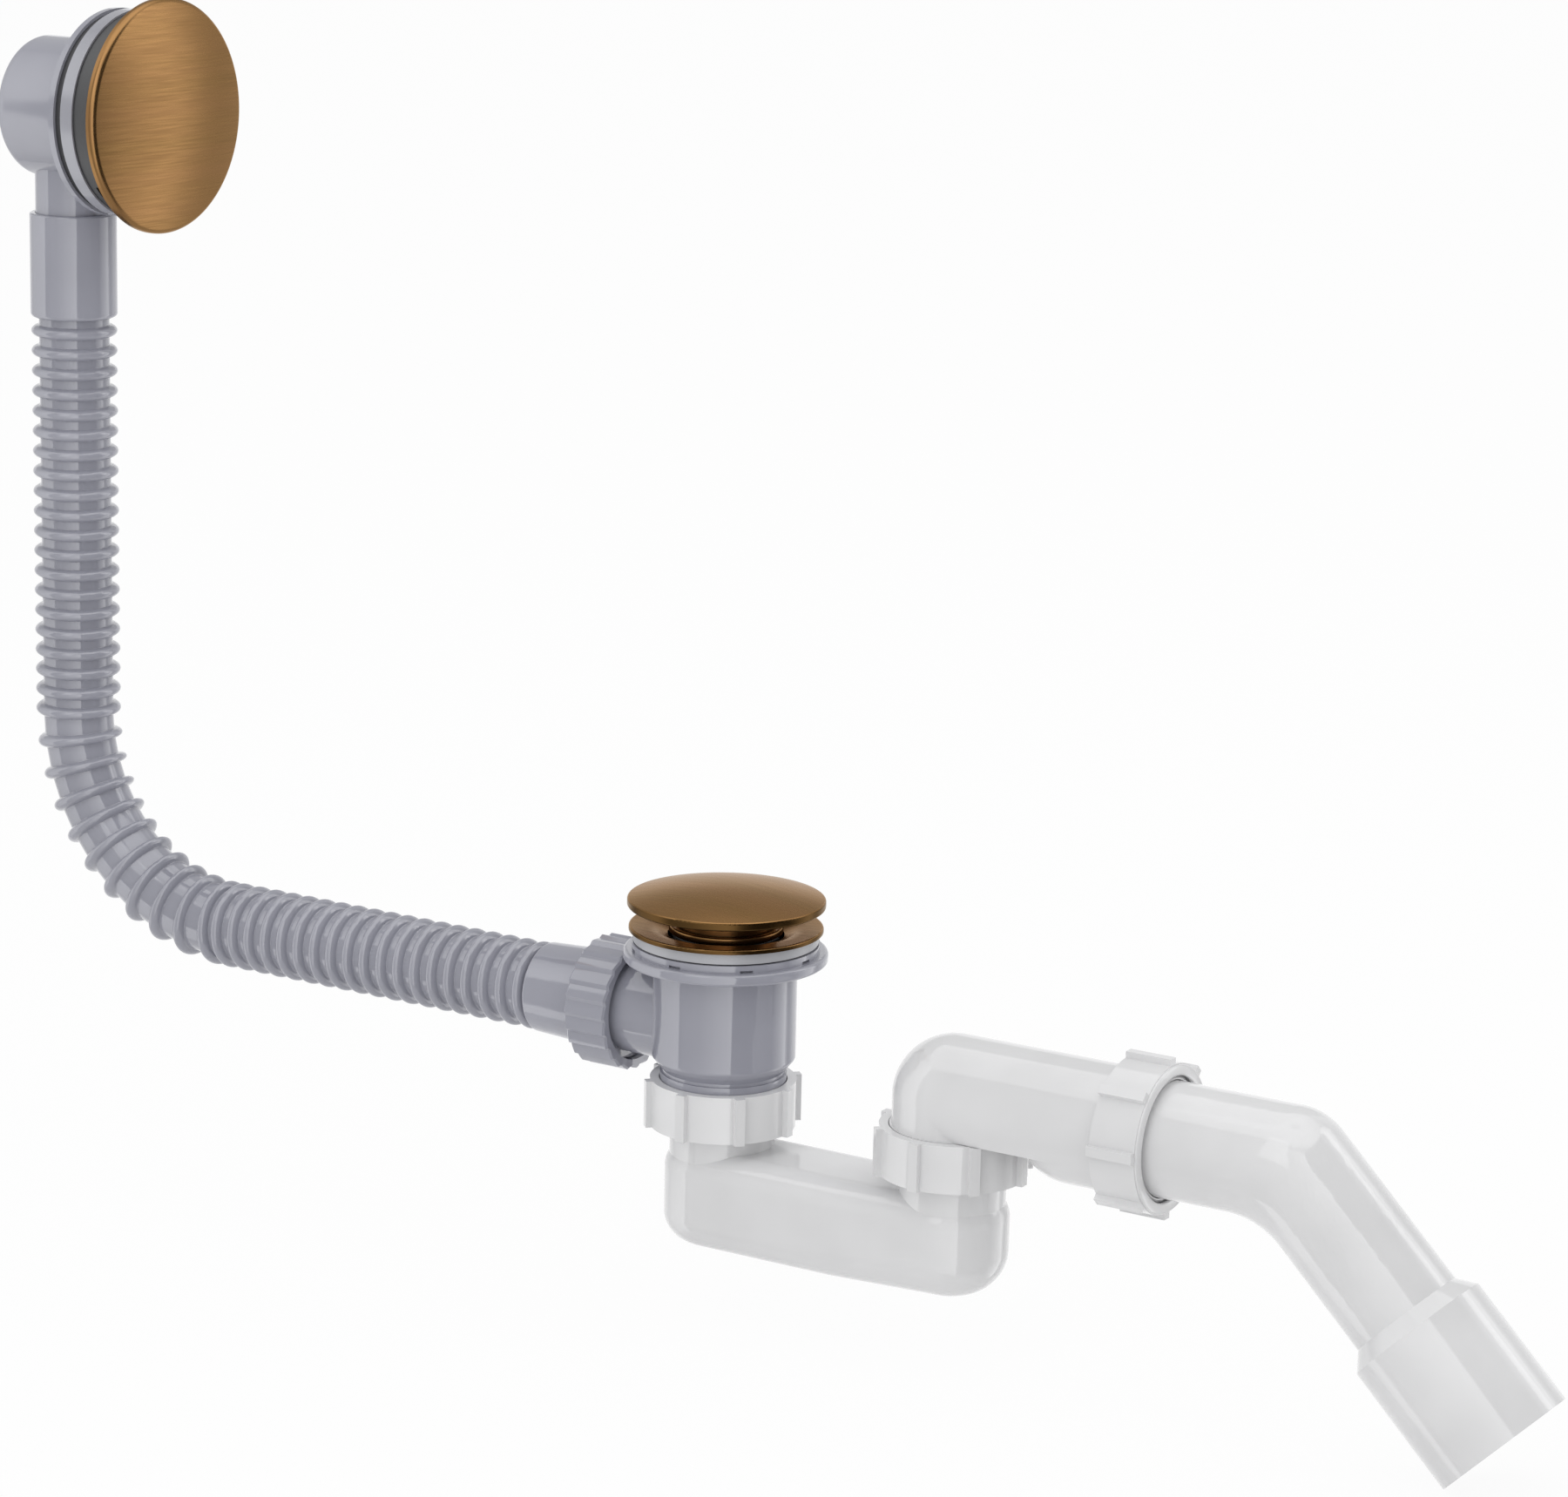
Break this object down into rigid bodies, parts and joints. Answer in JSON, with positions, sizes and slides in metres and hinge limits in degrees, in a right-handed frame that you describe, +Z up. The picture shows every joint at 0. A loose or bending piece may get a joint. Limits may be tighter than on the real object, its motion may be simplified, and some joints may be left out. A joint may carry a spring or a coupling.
{
  "type": "bath waste and overflow",
  "caption": "Click-clack bath waste with a domed plug, ribbed overflow hose to a round cover, low trap with lugged nuts and an angled outlet pipe.",
  "frame": {"origin": "on the waste's axis, at the underside of the metal flange, where it seats around the bath's drain hole", "axes": "+Z up out of the drain, +X along the trap towards the outlet, -X towards the overflow"},
  "size_m": [0.6304, 0.0858, 0.452],
  "materials": {
    "brass": "brushed and darkened",
    "grey_plastic": "smooth moulded",
    "pale_plastic": "smooth moulded",
    "dark_plastic": "satin moulded",
    "white_plastic": "smooth moulded",
    "pale_rubber": "soft",
    "black_rubber": "soft",
    "steel": "drawn"
  },
  "bodies": {
    "waste": {"bath_flange": "brass", "flange_gasket": "pale_rubber", "bath_seal": "black_rubber", "waste_body": "grey_plastic", "waste_branch": "grey_plastic", "click_housing": "pale_plastic", "click_cap": "pale_plastic", "click_spring": "steel", "overflow_body": "grey_plastic", "overflow_gasket": "black_rubber", "overflow_front_ring": "pale_plastic", "overflow_screw": "steel", "rosette_carrier": "dark_plastic", "overflow_rosette": "brass", "hose_upper_cuff": "grey_plastic", "overflow_hose": "grey_plastic", "hose_lower_cuff": "grey_plastic", "hose_nut": "grey_plastic", "hose_washer": "black_rubber", "trap_inlet_nut": "white_plastic", "trap_inlet_washer": "black_rubber"},
    "plug": {"plug_dome": "brass", "plug_seal": "black_rubber", "plug_stem": "steel", "index_rotor": "pale_plastic"},
    "trap": {"trap_body": "white_plastic"},
    "elbow": {"outlet_elbow": "white_plastic", "riser_nut": "white_plastic", "riser_washer": "black_rubber", "outlet_nut": "white_plastic", "outlet_washer": "pale_rubber"},
    "bend": {"outlet_bend": "white_plastic"}
  },
  "joints": [
    {"name": "plug_click", "type": "slide", "parent": "waste", "child": "plug", "axis": [0, 0, 1], "range_m": [-0.0065, 0], "stiffness_N_per_m": 600, "springref_m": 0.01, "deforming": ["click_spring"]},
    {"name": "trap_swivel", "type": "hinge", "parent": "waste", "child": "trap", "pos_m": [0, 0, -0.067], "axis": [0, 0, 1], "range_deg": [-80, 80]},
    {"name": "outlet_swivel", "type": "hinge", "parent": "trap", "child": "elbow", "pos_m": [0.0944, 0, -0.067], "axis": [0, 0, 1], "range_deg": [-80, 80]},
    {"name": "bend_swivel", "type": "hinge", "parent": "elbow", "child": "bend", "pos_m": [0.16, 0, -0.0441], "axis": [1, 0, 0], "range_deg": [-90, 90]}
  ]
}
